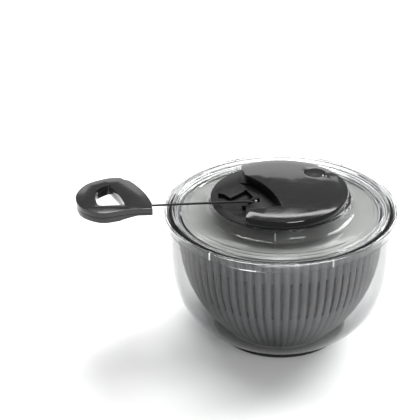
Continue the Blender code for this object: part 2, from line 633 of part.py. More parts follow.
def make_handle(finish):
    """Two shells that meet on a flat joint, modelled stowed and then pulled out."""
    joint = HANDLE_TOP - HANDLE_SPLIT
    outline = handle_outline()
    upper = prism("handle_upper", outline, joint + GAP / 2, HANDLE_TOP, finish)
    window = prism("handle_window", window_outline(), HANDLE_BOTTOM - 5 * MM, HANDLE_TOP + 5 * MM, helper=True)
    boolean(upper, window)
    lower = prism("handle_lower", outline, HANDLE_BOTTOM, joint - GAP / 2, finish)
    boolean(lower, window)
    under = [(RAMP_END, HANDLE_BOTTOM - 5 * MM), (RAMP_END, HANDLE_BOTTOM), (RAMP_START, HANDLE_TOP - BLADE_THICK),
             (10 * MM, HANDLE_TOP - BLADE_THICK), (10 * MM, HANDLE_BOTTOM - 5 * MM)]
    boolean(lower, side_prism("under_blade", under, -60 * MM, 60 * MM))
    knot_x = RAMP_END + 4.2 * MM
    groove_top = CORD_LEVEL + CORD_RADIUS + GAP
    groove = side_prism("cord_groove", [(knot_x, HANDLE_BOTTOM - 5 * MM), (knot_x, groove_top), (10 * MM, groove_top),
                                        (10 * MM, HANDLE_BOTTOM - 5 * MM)], -WIND_RADIUS - CORD_RADIUS - GAP,
                        -WIND_RADIUS + CORD_RADIUS + GAP)
    boolean(lower, groove)
    room = side_prism("eyelet_room", [(-37 * MM, HANDLE_BOTTOM - 5 * MM), (-37 * MM, EYELET_TOP + GAP),
                                      (-23 * MM, EYELET_TOP + GAP), (-23 * MM, HANDLE_BOTTOM - 5 * MM)],
                      -WIND_RADIUS - EYELET_RADIUS - GAP, -WIND_RADIUS + EYELET_RADIUS + GAP)
    boolean(lower, room)
    near, far, roof = knot_x + 3.2 * MM, knot_x - 3.2 * MM, groove_top + 1.4 * MM
    knot_room = side_prism("knot_room", [(far, HANDLE_BOTTOM - 5 * MM), (far, roof), (near, roof),
                                         (near, HANDLE_BOTTOM - 5 * MM)], -WIND_RADIUS - 2.8 * MM,
                           -WIND_RADIUS + 2.8 * MM)
    boolean(lower, knot_room)
    screw_spots = [(-GRIP_REACH + 9 * MM, -8 * MM), (-40 * MM, 28 * MM)]
    drill = bmesh.new()
    head_seat = HANDLE_BOTTOM + 2.4 * MM
    for x, y in screw_spots:
        hole = turned_bm([(0, HANDLE_BOTTOM - 6 * MM), (SCREW_HEAD + GAP, HANDLE_BOTTOM - 6 * MM),
                          (SCREW_HEAD + GAP, head_seat), (SCREW_SHANK + GAP, head_seat),
                          (SCREW_SHANK + GAP, joint + 4 * MM), (0, joint + 4 * MM)], 12)
        place(hole, (x, y, 0))
        append(drill, hole)
    drill = keep("handle_drill", drill, None, helper=True)
    boolean(upper, drill)
    boolean(lower, drill)
    ball = [(0, -2.4 * MM), (1.7 * MM, -1.7 * MM), (2.4 * MM, 0), (1.7 * MM, 1.7 * MM), (0, 2.4 * MM)]
    knot = turned("cord_knot", ball, 12, MATERIALS["cord"], at=(knot_x, -WIND_RADIUS, CORD_LEVEL))
    screws = [make_screw(f"handle_screw_{n}", (x, y, head_seat - GAP), joint + 3.4 * MM - head_seat)
              for n, (x, y) in enumerate(screw_spots, 1)]
    parent = bpy.data.objects.new("handle_pull_axis", None)
    bpy.context.scene.collection.objects.link(parent)
    cutters = [window, groove, room, knot_room, drill, bpy.data.objects["under_blade"]]
    for piece in (upper, lower, knot, *screws, *cutters):
        piece.parent = parent
    parent.location = (-STOW_TRAVEL, 0, 0)
    return knot_x - STOW_TRAVEL


def make_screw(name, at, length):
    """A pan-head screw that points up from its head's underside."""
    outline = [(0, -SCREW_HEAD_HEIGHT), (SCREW_HEAD * 0.8, -SCREW_HEAD_HEIGHT),
               (SCREW_HEAD, -SCREW_HEAD_HEIGHT * 0.5), (SCREW_HEAD, 0), (SCREW_SHANK, 0),
               (SCREW_SHANK, length - 1 * MM), (0, length)]
    return turned(name, outline, 12, MATERIALS["steel"], at=at)


def make_cord(knot_x):
    """The cord from the spool, up through its eyelet and out to the knot in the handle."""
    y = -WIND_RADIUS
    rise = CORD_LEVEL - GROOVE_LEVEL
    rising = [(-2, 0), (-9, 0.02), (-14.5, 0.08), (-20, 0.31), (-26, 0.62), (-31, 0.84), (-37, 0.96), (-46, 1),
              (-80, 1), (-120, 1)]
    route = [(x * MM, y, GROOVE_LEVEL + share * rise) for x, share in rising]
    route.append((knot_x + 2.4 * MM + GAP, y, CORD_LEVEL))
    curve = bpy.data.curves.new("pull_cord", "CURVE")
    curve.dimensions = "3D"
    curve.bevel_depth = CORD_RADIUS
    curve.bevel_resolution = 2
    curve.use_fill_caps = True
    points = smooth_curve(route, 3)
    line = curve.splines.new("POLY")
    line.points.add(len(points) - 1)
    for point, place_at in zip(line.points, points):
        point.co = (*place_at, 1)
    curve.materials.append(MATERIALS["cord"])
    cord = bpy.data.objects.new("pull_cord", curve)
    bpy.context.scene.collection.objects.link(cord)
    eyelet = turned("cord_eyelet", [(CORD_RADIUS + 0.7 * MM, -1.0 * MM), (EYELET_RADIUS, -1.3 * MM),
                                    (EYELET_RADIUS, 1.3 * MM), (CORD_RADIUS + 0.7 * MM, 1.0 * MM)], 16,
                    MATERIALS["steel"])
    eyelet.rotation_euler = (0, radians(90 + 25), 0)
    eyelet.location = (-30.2 * MM, y, GROOVE_LEVEL + 0.83 * rise)


# ---- spool, ratchet and hub ----

def make_spool(finish):
    core = WIND_RADIUS - CORD_RADIUS - 0.8 * MM
    hollow = core - 2 * MM
    low, high = SPOOL_LOW, SPOOL_HIGH
    spool = turned("spool", [(hollow, low), (SPOOL_FLANGE, low), (SPOOL_FLANGE, low + LOWER_PLATE),
                             (core, low + LOWER_PLATE), (core, high - UPPER_PLATE), (SPOOL_FLANGE, high - UPPER_PLATE),
                             (SPOOL_FLANGE, high), (AXLE_RADIUS + GAP, high), (AXLE_RADIUS + GAP, high - LOWER_PLATE),
                             (hollow, high - LOWER_PLATE)], 32, finish)
    cap = tube_outline(AXLE_RADIUS + GAP * 2, hollow - GAP, low + 0.1 * MM, low + 1.3 * MM)
    turned("spool_cap", cap, SMALL, finish)
    turned("cord_winding", tube_outline(core + GAP, WIND_RADIUS - CORD_RADIUS + 0.1 * MM, low + LOWER_PLATE + GAP,
                                        high - UPPER_PLATE - GAP), 32, MATERIALS["cord"])
    make_recoil_spring(hollow, low + 1.3 * MM + 0.5 * MM, high - LOWER_PLATE - 0.5 * MM)
    drill = bmesh.new()
    for number in (1, 2):
        at = pawl_pivot(number)
        hole = turned_bm(rod_outline(PAWL_PIN + GAP, low - 2 * MM, low + LOWER_PLATE + 1 * MM), 12)
        place(hole, (*at, 0))
        append(drill, hole)
        under = low - PAWL_THICK - 0.6 * MM
        turned(f"pawl_pin_{number}", [(0, under - 0.5 * MM), (2.2 * MM, under - 0.5 * MM), (2.2 * MM, under),
                                      (PAWL_PIN, under), (PAWL_PIN, low + LOWER_PLATE), (0, low + LOWER_PLATE)], 12,
               MATERIALS["steel"], at=(*at, 0))
    boolean(spool, keep("pawl_pin_holes", drill, None, helper=True))


def make_recoil_spring(outer, low, high):
    """A flat strip wound in a spiral between the axle and the spool."""
    steps, strip = SPRING_TURNS * 14, 0.4 * MM
    start, end = AXLE_RADIUS + 1.2 * MM, outer - 1.0 * MM
    line = [(start + (end - start) * n / steps, 2 * pi * SPRING_TURNS * n / steps) for n in range(steps + 1)]
    out = [((r + strip) * cos(t), (r + strip) * sin(t)) for r, t in line]
    back = [(r * cos(t), r * sin(t)) for r, t in reversed(line)]
    prism("recoil_spring", out + back, low, high, MATERIALS["steel"])


def pawl_pivot(number):
    turn = radians(60) + pi * (number - 1)
    return PAWL_PIVOT * cos(turn), PAWL_PIVOT * sin(turn)


def make_pawls(finish):
    """Each pawl trails its pin and lies clear of the teeth until it swings out."""
    for number in (1, 2):
        pivot = Vector(pawl_pivot(number))
        out = pivot.normalized()
        along = Vector((-out.y, out.x))
        tip = pivot + along * 14.5 * MM + out * 1.6 * MM
        outline = [pivot - along * 3.0 * MM - out * 2.6 * MM, pivot - along * 3.4 * MM + out * 1.0 * MM,
                   pivot + out * 3.2 * MM, tip + out * 0.9 * MM, tip + along * 0.9 * MM, tip - out * 1.6 * MM,
                   pivot + along * 4 * MM - out * 3.0 * MM]
        bm = prism_bm([tuple(p - pivot) for p in outline], SPOOL_LOW - PAWL_THICK - GAP * 1.5, SPOOL_LOW - GAP * 1.5)
        pawl = keep(f"pawl_{number}", bm, finish)
        pawl.location = (*pivot, 0)
        hole = turned(f"pawl_hole_{number}", rod_outline(PAWL_PIN + GAP, SPOOL_LOW - 8 * MM, SPOOL_LOW + 8 * MM), 12,
                      at=(*pivot, 0), helper=True)
        boolean(pawl, hole)


def make_hub(finish):
    """A cup with saw teeth inside, on a neck that carries the inner cover."""
    hub = turned("drive_hub", [(AXLE_RADIUS + GAP, HUB_BOTTOM), (HUB_NECK, HUB_BOTTOM), (HUB_NECK, HUB_FLOOR),
                               (RATCHET_RIM, HUB_FLOOR), (RATCHET_RIM, HUB_TOP), (RATCHET_OUTER + 0.2 * MM, HUB_TOP),
                               (RATCHET_OUTER + 0.2 * MM, HUB_FLOOR + HUB_PLATE),
                               (AXLE_RADIUS + GAP, HUB_FLOOR + HUB_PLATE)], FINE, finish)
    pitch = 2 * pi / RATCHET_TEETH
    teeth = []
    for n in range(RATCHET_TEETH):
        root = RATCHET_OUTER - 0.4 * MM
        for turn, radius in ((0.12, root), (0.92, RATCHET_INNER), (1.0, root)):
            teeth.append((radius * cos((n + turn) * pitch), radius * sin((n + turn) * pitch)))
    ring = turned("tooth_ring", tube_outline(RATCHET_INNER - 4 * MM, RATCHET_RIM - 1 * MM, HUB_FLOOR + 0.4 * MM,
                                             HUB_TOP - 0.4 * MM), FINE, helper=True)
    boolean(ring, prism("tooth_space", teeth, HUB_FLOOR - 1 * MM, HUB_TOP + 1 * MM, helper=True))
    boolean(hub, ring, "UNION")
    drill = bmesh.new()
    for angle in screw_angles():
        hole = turned_bm(rod_outline(SCREW_SHANK + GAP, HUB_BOTTOM - 1 * MM, HUB_BOTTOM + 6 * MM), 12)
        place(hole, (HUB_SCREW_CIRCLE * cos(angle), HUB_SCREW_CIRCLE * sin(angle), 0))
        append(drill, hole)
    boolean(hub, keep("hub_screw_holes", drill, None, helper=True))


def screw_angles():
    return [radians(30 + 120 * n) for n in range(3)]


def make_inner_cover(finish):
    """The clear disc that closes the basket and turns with it, with lugs in the basket's notches."""
    top, wall = HUB_BOTTOM - GAP, INNER_COVER_WALL
    edge = RIM_INNER - 0.6 * MM
    rise = top + INNER_COVER_RISE
    outline = [(7.2 * MM, top - wall), (INNER_COVER_FLAT, top - wall), (edge - 3 * MM, rise - wall),
               (edge, rise - wall), (edge, BASKET_TOP), (edge - wall, BASKET_TOP),
               (edge - wall - 0.6 * MM, rise), (INNER_COVER_FLAT, top),
               (7.2 * MM, top)]
    cover = turned("basket_cover", outline, FINE, finish)
    lugs = bmesh.new()
    for number in range(NOTCHES):
        add_lug(lugs, number, -GAP, BASKET_TOP - NOTCH_DEPTH + 0.8 * MM, BASKET_TOP - 0.2 * MM)
    boolean(cover, keep("lugs", lugs, None, helper=True), "UNION")
    trim = tube_outline(RIM_INNER - 8 * MM, edge - wall + 0.2 * MM, rise + 0.2 * MM, BASKET_TOP + 3 * MM)
    boolean(cover, turned("lug_trim", trim, FINE, helper=True))
    drill = bmesh.new()
    for number, angle in enumerate(screw_angles(), 1):
        at = (HUB_SCREW_CIRCLE * cos(angle), HUB_SCREW_CIRCLE * sin(angle), 0)
        hole = turned_bm(rod_outline(SCREW_SHANK + GAP, top - 8 * MM, top + 3 * MM), 12)
        place(hole, at)
        append(drill, hole)
        make_screw(f"hub_screw_{number}", (at[0], at[1], top - wall - GAP), wall + GAP + 5 * MM)
    boolean(cover, keep("inner_cover_holes", drill, None, helper=True))


def make_drive_base(finish):
    floor, top = CUP_FLOOR, CUP_FLOOR + CUP_WALL
    cup = [(HUB_NECK + 0.6 * MM, floor), (CUP_RADIUS - 1.5 * MM, floor), (CUP_RADIUS, floor + 1.5 * MM),
           (CUP_RADIUS, CUP_TOP), (CUP_RADIUS - CUP_WALL, CUP_TOP), (CUP_RADIUS - CUP_WALL, top),
           (HUB_NECK + 0.6 * MM, top)]
    base = turned("mechanism_base", cup, FINE, finish)
    drill = bmesh.new()
    for number, angle in enumerate(POST_ANGLES, 1):
        at = (POST_CIRCLE * cos(angle), POST_CIRCLE * sin(angle), 0)
        hole = turned_bm(rod_outline(SCREW_SHANK + GAP, floor - 1 * MM, top + 1 * MM), 12)
        place(hole, at)
        append(drill, hole)
        make_screw(f"base_screw_{number}", (at[0], at[1], floor - GAP), 12 * MM)
    boolean(base, keep("base_holes", drill, None, helper=True))
    turned("thrust_washer", tube_outline(HUB_NECK + 1.4 * MM, HUB_NECK + 7 * MM, top + GAP, HUB_FLOOR - GAP), SMALL,
           MATERIALS["steel"])
    turned("axle", [(0, AXLE_LOW), (AXLE_RADIUS - 0.5 * MM, AXLE_LOW), (AXLE_RADIUS, AXLE_LOW + 0.5 * MM),
                    (AXLE_RADIUS, AXLE_HIGH), (0, AXLE_HIGH)], SMALL, MATERIALS["steel"])
    turned("axle_clip", tube_outline(AXLE_RADIUS + GAP, 6.4 * MM, AXLE_LOW + 1.0 * MM, AXLE_LOW + 1.9 * MM), SMALL,
           MATERIALS["steel"])


# ---- brake ----

def make_brake(button_finish, pad_finish):
    top = DOME_TOP - 1.9 * MM
    inner_top = HUB_BOTTOM - GAP + INNER_COVER_RISE * (hypot(BRAKE_X, BRAKE_Y) + 6 * MM - INNER_COVER_FLAT) / (
        RIM_INNER - 4 * MM - INNER_COVER_FLAT)
    pad_low = inner_top + BRAKE_GAP + BRAKE_TRAVEL
    stem_low = pad_low + PAD_THICK + GAP
    well_floor = DOME_TOP - BUTTON_WELL
    turned("brake_button", [(0, stem_low), (STEM_RADIUS, stem_low), (STEM_RADIUS, top - 2.2 * MM),
                            (BUTTON_RADIUS - 1.4 * MM, top - 2.2 * MM), (BUTTON_RADIUS - 1.4 * MM, top - 4.2 * MM),
                            (BUTTON_RADIUS, top - 4.2 * MM), (BUTTON_RADIUS, top - 0.8 * MM),
                            (BUTTON_RADIUS - 0.8 * MM, top), (0, top - 0.3 * MM)], SMALL, button_finish,
           at=(BRAKE_X, BRAKE_Y, 0))
    pad = [(0, pad_low), (5.0 * MM, pad_low), (5.6 * MM, pad_low + 0.6 * MM), (5.6 * MM, pad_low + PAD_THICK),
           (0, pad_low + PAD_THICK)]
    turned("brake_pad", pad, SMALL, pad_finish, at=(BRAKE_X, BRAKE_Y, 0))
    make_coil("brake_spring", (BRAKE_X, BRAKE_Y), 6.6 * MM, 0.5 * MM, well_floor + 0.8 * MM, top - 3.1 * MM, 3)


def make_coil(name, at, radius, wire, low, high, turns):
    """A coil spring as a tube along a helix."""
    curve = bpy.data.curves.new(name, "CURVE")
    curve.dimensions = "3D"
    curve.bevel_depth = wire
    curve.bevel_resolution = 0
    curve.use_fill_caps = True
    steps = turns * 12
    line = curve.splines.new("POLY")
    line.points.add(steps)
    for n, point in enumerate(line.points):
        turn = 2 * pi * turns * n / steps
        point.co = (at[0] + radius * cos(turn), at[1] + radius * sin(turn), low + (high - low) * n / steps, 1)
    curve.materials.append(MATERIALS["steel"])
    bpy.context.scene.collection.objects.link(bpy.data.objects.new(name, curve))


# ---- the whole ----

for old in list(bpy.data.objects):
    bpy.data.objects.remove(old, do_unlink=True)

MATERIALS = {
    "clear": material("clear_plastic", (0.93, 0.95, 0.96), 0.05, alpha=0.3),
    "black": material("black_gloss", (0.012, 0.012, 0.013), 0.22),
    "grey": material("grey_satin", (0.13, 0.13, 0.135), 0.45),
    "rubber": material("black_rubber", (0.015, 0.015, 0.015), 0.8),
    "steel": material("steel", (0.6, 0.6, 0.62), 0.3, metallic=1.0),
    "acetal": material("white_acetal", (0.75, 0.75, 0.72), 0.4),
    "cord": material("black_cord", (0.02, 0.02, 0.02), 0.85),
}

make_bowl(MATERIALS["clear"])
make_base_ring(MATERIALS["rubber"])
make_basket(MATERIALS["grey"])
make_lid(MATERIALS["clear"])
make_cover(MATERIALS["black"])
make_cord(make_handle(MATERIALS["black"]))
make_spool(MATERIALS["acetal"])
make_pawls(MATERIALS["steel"])
make_hub(MATERIALS["acetal"])
make_inner_cover(MATERIALS["clear"])
make_drive_base(MATERIALS["black"])
make_brake(MATERIALS["black"], MATERIALS["rubber"])
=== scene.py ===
"""Looks of the salad spinner: clear bowl and lid, ribbed grey basket, black corded drive and handle."""
from math import atan2, cos, pi, radians, sin

import bpy
from mathutils import Matrix, Vector


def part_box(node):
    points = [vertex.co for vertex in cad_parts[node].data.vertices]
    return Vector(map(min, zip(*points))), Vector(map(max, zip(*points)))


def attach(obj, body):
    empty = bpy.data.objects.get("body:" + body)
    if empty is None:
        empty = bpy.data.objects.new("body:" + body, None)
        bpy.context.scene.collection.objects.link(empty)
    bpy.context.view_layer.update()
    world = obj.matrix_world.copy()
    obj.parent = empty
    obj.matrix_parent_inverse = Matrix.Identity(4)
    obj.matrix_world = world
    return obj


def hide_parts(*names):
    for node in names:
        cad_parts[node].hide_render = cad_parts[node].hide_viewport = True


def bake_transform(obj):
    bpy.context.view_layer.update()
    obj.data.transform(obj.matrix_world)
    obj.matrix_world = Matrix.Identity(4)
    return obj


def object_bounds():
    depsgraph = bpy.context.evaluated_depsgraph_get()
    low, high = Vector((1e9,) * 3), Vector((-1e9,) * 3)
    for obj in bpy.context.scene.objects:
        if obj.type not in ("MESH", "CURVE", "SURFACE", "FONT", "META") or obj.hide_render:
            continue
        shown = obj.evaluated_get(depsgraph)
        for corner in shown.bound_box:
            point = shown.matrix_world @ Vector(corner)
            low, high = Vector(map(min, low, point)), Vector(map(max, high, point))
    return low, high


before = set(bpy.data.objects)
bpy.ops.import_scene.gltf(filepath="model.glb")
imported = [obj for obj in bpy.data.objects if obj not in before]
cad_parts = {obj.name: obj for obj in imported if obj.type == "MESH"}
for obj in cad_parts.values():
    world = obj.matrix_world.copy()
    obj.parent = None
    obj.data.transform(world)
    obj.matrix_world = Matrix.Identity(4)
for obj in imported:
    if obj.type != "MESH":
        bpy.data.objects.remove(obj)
cad_low, cad_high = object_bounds()
MM = 0.001

# Cord: its route, which repeats the frame's, is in mm
CORD_RADIUS = 1.3 * MM
CORD_Y, CORD_LEVEL = -16.5, 170.6
CORD_ROUTE = [(-2.0, 159.6), (-9.0, 159.8), (-14.5, 160.48), (-20.0, 163.0), (-26.0, 166.4),
              (-31.0, 168.84), (-37.0, 170.16), (-46.0, CORD_LEVEL), (-80.0, CORD_LEVEL),
              (-120.0, CORD_LEVEL), (-173.3, CORD_LEVEL)]
CORD_STEP = 0.9 * MM
STRANDS, LAY_LENGTH = 4, 7.5 * MM

# Basket
basket_low, basket_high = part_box("basket")
BASKET_FLOOR, BASKET_TOP = basket_low[2], basket_high[2]
BASKET_RIM = (basket_high[0] - basket_low[0]) / 2
BASKET_FOOT = 68 * MM
BASKET_FULLNESS = 2.8
BASKET_WALL = 1.8 * MM
SLOTS = 72
SLOT_LOW, SLOT_HIGH = 70 * MM, 121 * MM
GROOVE_LOW, GROOVE_HIGH = 12 * MM, 142 * MM
GROOVE_DEEP = 0.982  # a groove's radius as a share of the rib's
GROOVE_HALF, SLOT_HALF = 0.2, 0.1  # half widths, as shares of the pitch
WALL_LEVELS = [9, 14, 22, 32, 44, 57, 70, 83, 96, 109, 121, 132, 140, 144.5]

# Bowl and lid, in mm and degrees
BASE_RADIUS, BOWL_RADIUS, BOWL_HEIGHT, BOWL_WALL = 77.0, 126.5, 153.1, 3.0
RING_INNER, RING_TOP = 65.7, 3.7
BOWL_FULLNESS = 3.6
CURVE_LOW, CURVE_SHARE = 3.4, 0.78  # the wall's curve starts at a level and ends at a share of the height
WALL_RISE, WALL_STEPS = 145.6, 30
FLOOR_TOP, KNEE = 6.2, 9.6
PIVOT_TOP = 8.0
LIP = BOWL_RADIUS + 2.1
LID_RADIUS, LID_TOP, LID_WALL = 132.0, 156.1, 2.2
LID_SKIRT_LOW, LID_SEAT = 145.4, 153.4
DECK = 153.8
NECK_RADIUS, NECK_FOOT, NECK_TOP = 78.9, 8.0, 166.0
BEAD_RADII = [112.6, 106.6]
BEAD_RISE = 0.3
SPIN_STEPS = 144
SKIRT_RIB_START, SKIRT_RIBS = -131, 6
NECK_RIB_ANGLES = (-5, 85, 175, -100)

# Cover: its crown, for finding what lies below it, where shade is painted into the handle's recess
DOME_RADIUS, DOME_EDGE, DOME_RISE = 76.3 * MM, 175.5 * MM, 4.5 * MM
RECESS_DEEP = 1.6 * MM

# Room: the floor's side in metres, and the sky's strength
FLOOR_SIZE = 8
SKY_STRENGTH = 0.2


# ---- camera ----

camera_data = bpy.data.cameras.new("camera")
camera_data.lens = 95.2
camera_data.sensor_width = 36
camera_data.clip_start = 0.05
camera = bpy.data.objects.new("camera", camera_data)
camera.location = (-0.12323, -1.10736, 0.74854)
camera.rotation_euler = [radians(turn) for turn in (61.7364, 1.1865, -2.8808)]
bpy.context.scene.collection.objects.link(camera)
bpy.context.scene.camera = camera


# ---- finishes ----

def new_finish(name, colour, roughness, **sockets):
    """A Principled material. Uniform values go on the shader's own sockets."""
    finish = bpy.data.materials.new(name)
    finish.use_nodes = True
    shader = finish.node_tree.nodes["Principled BSDF"]
    shader.inputs["Base Color"].default_value = (*colour, 1)
    shader.inputs["Roughness"].default_value = roughness
    for socket, value in sockets.items():
        shader.inputs[socket.replace("_", " ")].default_value = value
    return finish, finish.node_tree, shader


def noise(tree, scale, detail=3.0, stretch=(1, 1, 1)):
    """Noise over the object's own coordinates, stretched along an axis where the finish has a direction."""
    place = tree.nodes.new("ShaderNodeTexCoord")
    mapping = tree.nodes.new("ShaderNodeMapping")
    mapping.inputs["Scale"].default_value = stretch
    texture = tree.nodes.new("ShaderNodeTexNoise")
    texture.inputs["Scale"].default_value = scale
    texture.inputs["Detail"].default_value = detail
    tree.links.new(place.outputs["Object"], mapping.inputs["Vector"])
    tree.links.new(mapping.outputs["Vector"], texture.inputs["Vector"])
    return texture.outputs["Fac"]


def ranged(tree, value, low, high):
    """The middle of a noise's range brought to another range."""
    spread = tree.nodes.new("ShaderNodeMapRange")
    spread.inputs["From Min"].default_value = 0.3
    spread.inputs["From Max"].default_value = 0.7
    spread.inputs["To Min"].default_value = low
    spread.inputs["To Max"].default_value = high
    tree.links.new(value, spread.inputs["Value"])
    return spread.outputs["Result"]


def tinted(tree, shader, value, dark, light):
    """The base colour drifts between two close tones."""
    ramp = tree.nodes.new("ShaderNodeValToRGB")
    ramp.color_ramp.elements[0].position = 0.3
    ramp.color_ramp.elements[1].position = 0.7
    ramp.color_ramp.elements[0].color = (*dark, 1)
    ramp.color_ramp.elements[1].color = (*light, 1)
    tree.links.new(value, ramp.inputs["Fac"])
    tree.links.new(ramp.outputs["Color"], shader.inputs["Base Color"])


def bumped(tree, shader, value, height, strength=1.0):
    """Fine relief from a noise, with its height in metres."""
    bump = tree.nodes.new("ShaderNodeBump")
    bump.inputs["Distance"].default_value = height
    bump.inputs["Strength"].default_value = strength
    tree.links.new(value, bump.inputs["Height"])
    tree.links.new(bump.outputs["Normal"], shader.inputs["Normal"])


def clear_plastic(name, tone, roughness, side, edge):
    """Polished clear plastic, greyer where it is seen edge-on. Rays from lamps pass through it."""
    finish, tree, shader = new_finish(name, tone, roughness, Transmission_Weight=1.0, IOR=1.30)
    facing = tree.nodes.new("ShaderNodeLayerWeight")
    facing.inputs["Blend"].default_value = 0.5
    ramp = tree.nodes.new("ShaderNodeValToRGB")
    low, high = ramp.color_ramp.elements
    middle = ramp.color_ramp.elements.new(0.62)
    for stop, place, share in ((low, 0.0, 1.0), (middle, 0.62, side), (high, 1.0, edge)):
        stop.position = place
        stop.color = (*(part * share for part in tone), 1)
    tree.links.new(facing.outputs["Facing"], ramp.inputs["Fac"])
    tree.links.new(ramp.outputs["Color"], shader.inputs["Base Color"])
    tree.links.new(ranged(tree, noise(tree, 40, 3), roughness * 0.6, roughness * 1.5),
                   shader.inputs["Roughness"])
    path = tree.nodes.new("ShaderNodeLightPath")
    through = tree.nodes.new("ShaderNodeBsdfTransparent")
    through.inputs["Color"].default_value = (0.86, 0.87, 0.87, 1)
    mix = tree.nodes.new("ShaderNodeMixShader")
    out = tree.nodes["Material Output"]
    tree.links.new(path.outputs["Is Shadow Ray"], mix.inputs["Fac"])
    tree.links.new(shader.outputs["BSDF"], mix.inputs[1])
    tree.links.new(through.outputs["BSDF"], mix.inputs[2])
    tree.links.new(mix.outputs["Shader"], out.inputs["Surface"])
    return finish


def frosted_clear(name, dark, light):
    """Clear plastic with a milky, slightly rough surface; on the lid's ribs its whiteness is a painted
    highlight.
    """
    finish, tree, shader = new_finish(name, dark, 0.3, Transmission_Weight=0.55, IOR=1.3)
    tinted(tree, shader, noise(tree, 30, 3), dark, light)
    return finish


def gloss_black(name, tone, roughness):
    """Moulded black plastic with a deep polish, faint flow waves and fine wiping marks."""
    finish, tree, shader = new_finish(name, (tone, tone, tone * 1.05), roughness, Coat_Weight=0.35,
                                      Coat_Roughness=0.04, IOR=1.5)
    tinted(tree, shader, noise(tree, 14, 4), (tone * 0.8,) * 3, (tone * 1.25, tone * 1.25, tone * 1.32))
    tree.links.new(ranged(tree, noise(tree, 60, 6, (1, 5, 1)), roughness * 0.75, roughness * 1.5),
                   shader.inputs["Roughness"])
    bumped(tree, shader, noise(tree, 35, 2), 0.0001, 0.2)
    return finish


def grooves(tree, count):
    """1 in the middle of each upright groove round the Z axis, 0 on the ribs between: the mask for the
    painted shade in the grooves.
    """
    place = tree.nodes.new("ShaderNodeTexCoord")
    parts = tree.nodes.new("ShaderNodeSeparateXYZ")
    tree.links.new(place.outputs["Object"], parts.inputs["Vector"])
    turn, times, wave = [tree.nodes.new("ShaderNodeMath") for _ in range(3)]
    turn.operation, times.operation, wave.operation = "ARCTAN2", "MULTIPLY", "COSINE"
    times.inputs[1].default_value = count
    tree.links.new(parts.outputs["Y"], turn.inputs[0])
    tree.links.new(parts.outputs["X"], turn.inputs[1])
    tree.links.new(turn.outputs["Value"], times.inputs[0])
    tree.links.new(times.outputs["Value"], wave.inputs[0])
    spread = tree.nodes.new("ShaderNodeMapRange")
    spread.inputs["From Min"].default_value = 0.0
    spread.inputs["From Max"].default_value = 0.7
    tree.links.new(wave.outputs["Value"], spread.inputs["Value"])
    return spread.outputs["Result"]


def satin_grey():
    """Moulded grey polypropylene with a low sheen, and painted shade that darkens the grooves between its
    ribs.
    """
    finish, tree, shader = new_finish("satin_grey", (0.09, 0.092, 0.095), 0.38, IOR=1.48)
    # Painted shade: the ribs keep the basket's own grey, and the grooves get a darker tone that stands in
    # for their shade.
    ramp = tree.nodes.new("ShaderNodeValToRGB")
    ramp.color_ramp.elements[0].color = (0.112, 0.114, 0.117, 1)
    ramp.color_ramp.elements[1].color = (0.048, 0.049, 0.051, 1)
    tree.links.new(grooves(tree, SLOTS), ramp.inputs["Fac"])
    tree.links.new(ramp.outputs["Color"], shader.inputs["Base Color"])
    tree.links.new(ranged(tree, noise(tree, 60, 3), 0.36, 0.46), shader.inputs["Roughness"])
    return finish


def moulded(name, dark, light, roughness, grain, **sockets):
    """Moulded plastic or rubber with a fine grain."""
    finish, tree, shader = new_finish(name, light, roughness, **sockets)
    tinted(tree, shader, noise(tree, 30, 4), dark, light)
    tree.links.new(ranged(tree, noise(tree, 120, 3), roughness * 0.85, min(roughness * 1.15, 1)),
                   shader.inputs["Roughness"])
    bumped(tree, shader, noise(tree, grain, 2), 0.00004, 0.5)
    return finish


def drawn_steel():
    """Steel wire and screws, with drawing lines along Z."""
    finish, tree, shader = new_finish("drawn_steel", (0.58, 0.58, 0.6), 0.3, Metallic=1.0)
    tinted(tree, shader, noise(tree, 60, 3), (0.5, 0.5, 0.52), (0.64, 0.64, 0.66))
    tree.links.new(ranged(tree, noise(tree, 300, 4, (1, 1, 0.08)), 0.2, 0.42), shader.inputs["Roughness"])
    return finish


def cord_black():
    """Braided polyester: short light and dark flecks, and no shine."""
    finish, tree, shader = new_finish("cord_black", (0.008, 0.008, 0.008), 0.75)
    tinted(tree, shader, noise(tree, 900, 2, (0.5, 1, 1)), (0.004, 0.004, 0.004), (0.012, 0.012, 0.012))
    bumped(tree, shader, noise(tree, 1400, 2, (0.4, 1, 1)), 0.0002, 0.7)
    return finish


CLEAR_BOWL = clear_plastic("clear_bowl", (0.97, 0.975, 0.978), 0.02, side=0.84, edge=0.12)
CLEAR_LID = clear_plastic("clear_lid", (0.975, 0.98, 0.982), 0.03, side=0.94, edge=0.5)
FROSTED = frosted_clear("frosted_clear", (0.36, 0.365, 0.35), (0.44, 0.445, 0.43))
# Painted highlight: this whitish finish on the lid's clear ribs stands in for the white glints along them.
RIB_HIGHLIGHT = frosted_clear("rib_painted_highlight", (0.8, 0.81, 0.81), (0.88, 0.88, 0.88))
BLACK = gloss_black("gloss_black", 0.010, 0.1)
BLACK_HANDLE = gloss_black("gloss_black_handle", 0.011, 0.12)
# Painted shade: the recess is the same black plastic as the cover, and this darker, less shiny finish stands
# in for the shade in the hollow.
RECESS_SHADE = moulded("recess_shade_black", (0.0035,) * 3, (0.006,) * 3, 0.3, 700, Specular_IOR_Level=0.18)
BLACK_SATIN = moulded("satin_black", (0.018,) * 3, (0.03,) * 3, 0.4, 800)
RUBBER = moulded("rubber", (0.008,) * 3, (0.018,) * 3, 0.75, 1200)
ACETAL = moulded("acetal", (0.66, 0.66, 0.63), (0.76, 0.76, 0.73), 0.42, 900)
GREY = satin_grey()
STEEL = drawn_steel()
CORD = cord_black()

